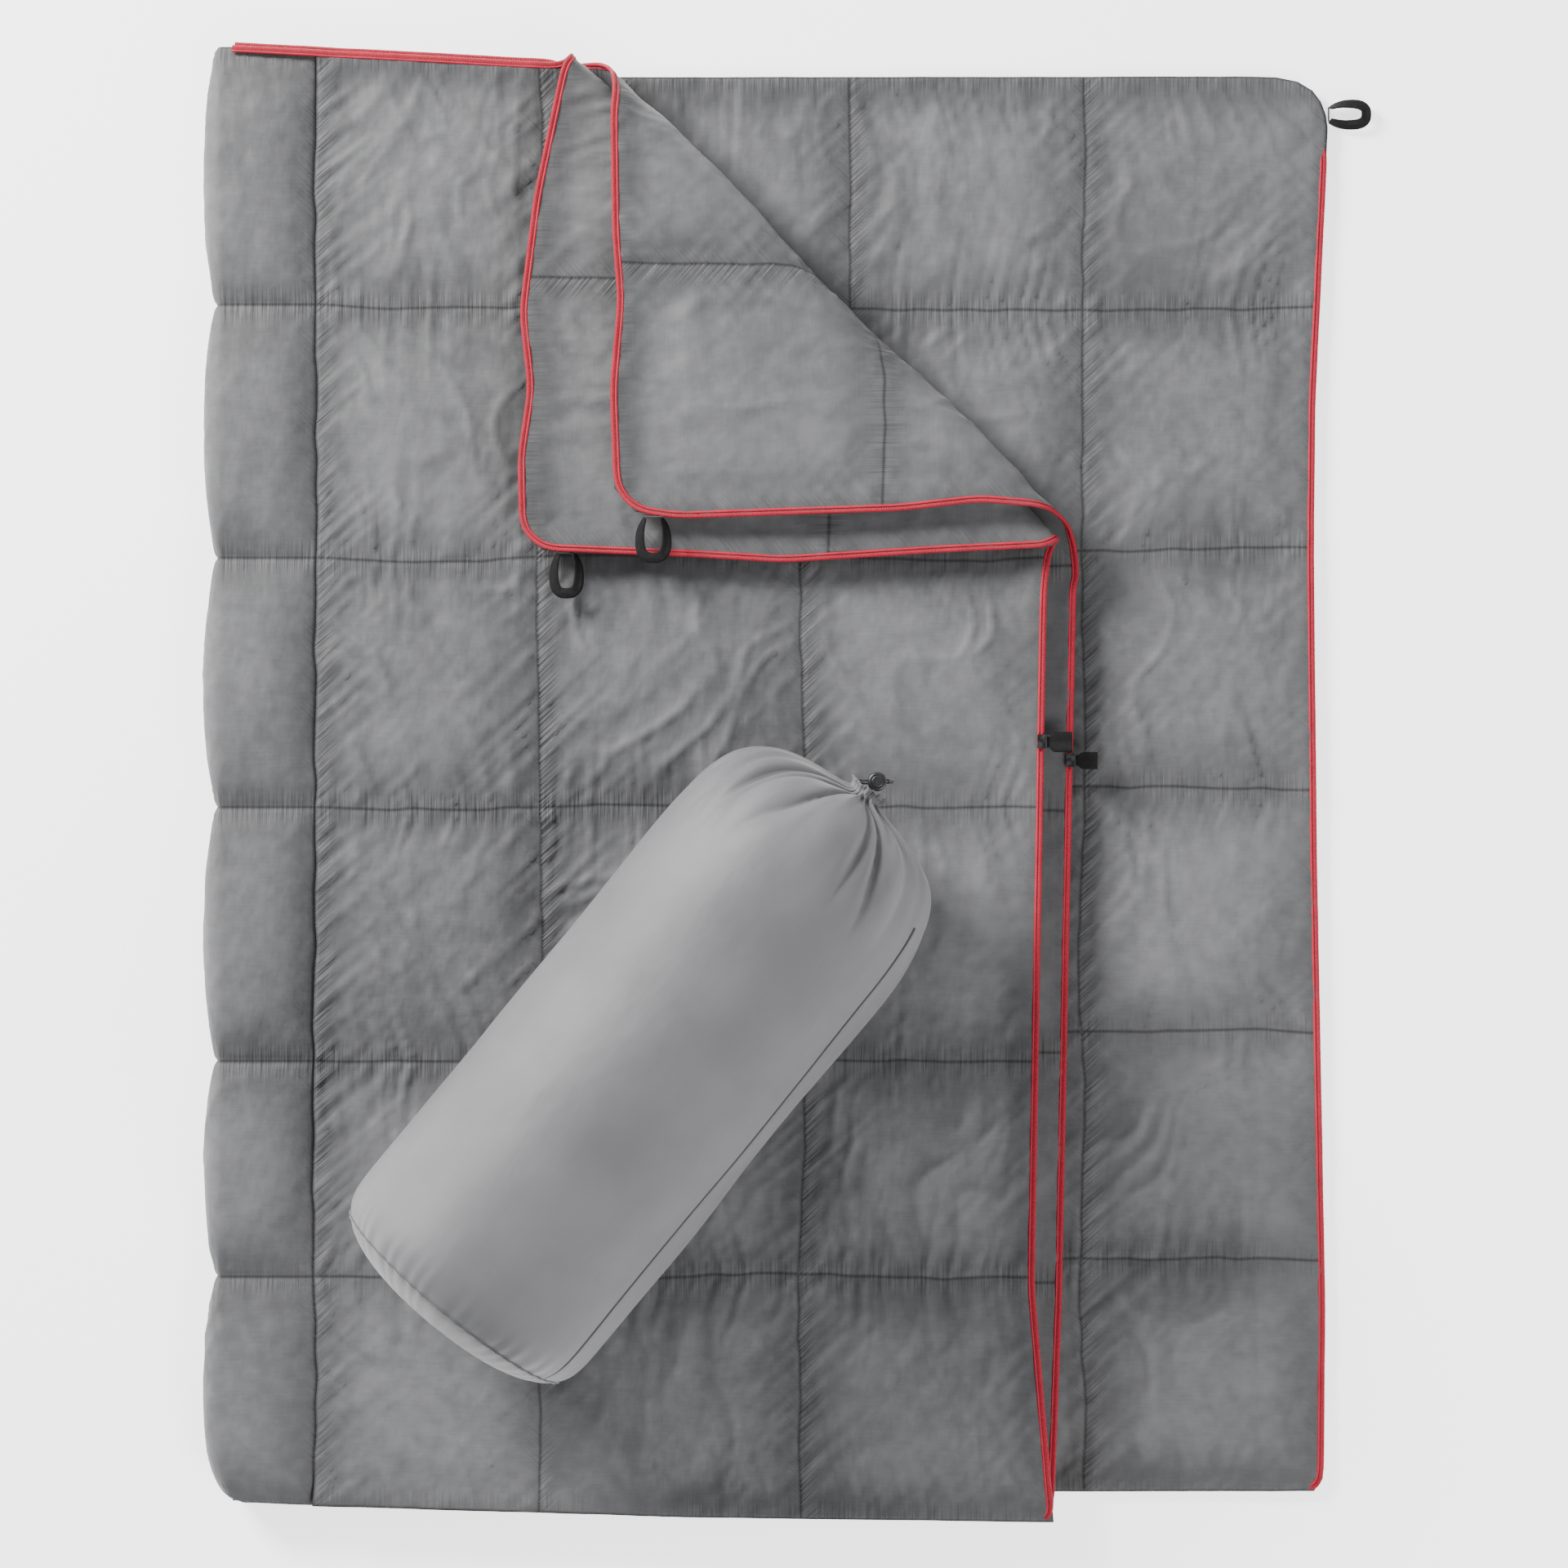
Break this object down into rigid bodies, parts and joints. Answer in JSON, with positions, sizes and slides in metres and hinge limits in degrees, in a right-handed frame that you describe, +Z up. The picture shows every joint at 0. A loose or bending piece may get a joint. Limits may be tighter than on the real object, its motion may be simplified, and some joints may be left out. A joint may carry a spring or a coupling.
{
  "type": "double sleeping bag with stuff sack",
  "caption": "Grey quilted double sleeping bag laid flat, red zip edges, one corner turned back, with its filled stuff sack lying on the front.",
  "frame": {"origin": "on the ground, at the middle of the outline of the bag laid flat", "axes": "+Z up, +Y along the bag towards the head end, +X towards the zip side; the fold is at -X"},
  "size_m": [1.5279, 1.916, 0.4348],
  "materials": {
    "quilt_shell": "grey quilted polyester taffeta, slightly glossy",
    "quilt_lining": "grey quilted polyester taffeta, soft",
    "batting": "white hollow fibre filling",
    "zip_red": "woven red zip tape with a nylon coil",
    "black_webbing": "ribbed black webbing",
    "slider_metal": "black enamelled die casting",
    "sack_fabric": "satin grey nylon",
    "sack_trim": "dark grey binding",
    "black_cord": "braided black cord",
    "black_plastic": "moulded black acetal, fine texture",
    "spring_steel": "bright spring wire"
  },
  "bodies": {
    "base": {"base_bottom_shell": "quilt_shell", "base_batting": "batting", "base_lining": "quilt_lining", "base_zip_tape": "zip_red", "base_zip_coil": "zip_red", "fold_shell": "quilt_shell", "fold_batting": "batting", "base_bar_tack": "black_webbing"},
    "base_corner_loop": {"base_loop": "black_webbing"},
    "cover": {"front_shell": "quilt_shell", "front_batting": "batting", "front_lining": "quilt_lining", "front_zip_tape": "zip_red", "front_zip_coil": "zip_red", "front_bend_shell": "quilt_lining", "front_bend_batting": "batting", "liner_top_fabric": "quilt_lining", "liner_batting": "batting", "liner_bottom_fabric": "quilt_lining", "liner_zip_tape": "zip_red", "liner_zip_coil": "zip_red"},
    "front_corner": {"front_corner_shell": "quilt_shell", "front_corner_batting": "batting", "front_corner_lining": "quilt_lining", "front_corner_zip_tape": "zip_red", "front_corner_zip_coil": "zip_red", "front_corner_bar_tack": "black_webbing"},
    "front_loop": {"front_corner_loop": "black_webbing"},
    "liner_corner": {"liner_corner_top_fabric": "quilt_lining", "liner_corner_batting": "batting", "liner_corner_bottom_fabric": "quilt_lining", "liner_corner_zip_tape": "zip_red", "liner_corner_zip_coil": "zip_red", "liner_corner_bar_tack": "black_webbing"},
    "liner_loop": {"liner_corner_loop": "black_webbing"},
    "front_slider": {"front_zip_slider": "slider_metal"},
    "front_pull": {"front_pull_tab": "black_webbing"},
    "liner_slider": {"liner_zip_slider": "slider_metal"},
    "liner_pull": {"liner_pull_tab": "black_webbing"},
    "sack": {"sack_end_panel": "sack_fabric", "sack_body": "sack_fabric", "sack_crown": "sack_fabric", "sack_neck_hem": "sack_fabric", "sack_filling": "batting", "sack_end_piping": "sack_trim", "sack_side_seam": "sack_trim", "sack_drawcord": "black_cord"},
    "cord_lock": {"cord_lock_barrel": "black_plastic", "cord_lock_spring": "spring_steel"},
    "lock_button": {"cord_lock_plunger": "black_plastic"}
  },
  "joints": [
    {"name": "cover_open", "type": "hinge", "parent": "base", "child": "cover", "pos_m": [-0.7282, 0, 0.0362], "axis": [0, -1, 0], "range_deg": [0, 170]},
    {"name": "liner_corner_turn", "type": "hinge", "parent": "cover", "child": "liner_corner", "pos_m": [0.0305, 0.621, 0.0726], "axis": [-0.7088, 0.7054, 0], "range_deg": [0, 165]},
    {"name": "front_corner_turn", "type": "hinge", "parent": "cover", "child": "front_corner", "pos_m": [0.0305, 0.621, 0.0726], "axis": [-0.7088, 0.7054, 0], "range_deg": [0, 165]},
    {"name": "base_loop_flip", "type": "hinge", "parent": "base", "child": "base_corner_loop", "pos_m": [0.7132, 0.877, 0.012], "axis": [0, -1, 0], "range_deg": [0, 60]},
    {"name": "front_loop_flip", "type": "hinge", "parent": "front_corner", "child": "front_loop", "pos_m": [-0.281, 0.299, 0.0848], "axis": [-1, 0, 0], "range_deg": [0, 60]},
    {"name": "liner_loop_flip", "type": "hinge", "parent": "liner_corner", "child": "liner_loop", "pos_m": [-0.168, 0.3434, 0.1092], "axis": [-1, 0, 0], "range_deg": [0, 60]},
    {"name": "front_slider_run", "type": "slide", "parent": "cover", "child": "front_slider", "axis": [-0.0177, -0.9998, 0], "range_m": [-0.17, 0.69]},
    {"name": "front_pull_flip", "type": "hinge", "parent": "front_slider", "child": "front_pull", "pos_m": [0.34354, 0.05488, 0.0604], "axis": [-0.0177, -0.9998, 0], "range_deg": [0, 110]},
    {"name": "liner_slider_run", "type": "slide", "parent": "cover", "child": "liner_slider", "axis": [-0.0203, -0.9998, 0], "range_m": [-0.14, 0.62]},
    {"name": "liner_pull_flip", "type": "hinge", "parent": "liner_slider", "child": "liner_pull", "pos_m": [0.38236, 0.03086, 0.0364], "axis": [-0.0203, -0.9998, 0], "range_deg": [0, 90]},
    {"name": "sack_lift", "type": "slide", "parent": "cover", "child": "sack", "axis": [0, 0, 1], "range_m": [0, 0.5]},
    {"name": "cord_lock_slide", "type": "slide", "parent": "sack", "child": "cord_lock", "axis": [-1, 0, 0], "range_m": [0, 0.006]},
    {"name": "lock_button_press", "type": "slide", "parent": "cord_lock", "child": "lock_button", "axis": [0, 0, -1], "range_m": [0, 0.004], "stiffness_N_per_m": 600, "springref_m": -0.001}
  ],
  "couplings": [
    {"joint": "front_corner_turn", "follows": "liner_corner_turn", "ratio": 1}
  ]
}
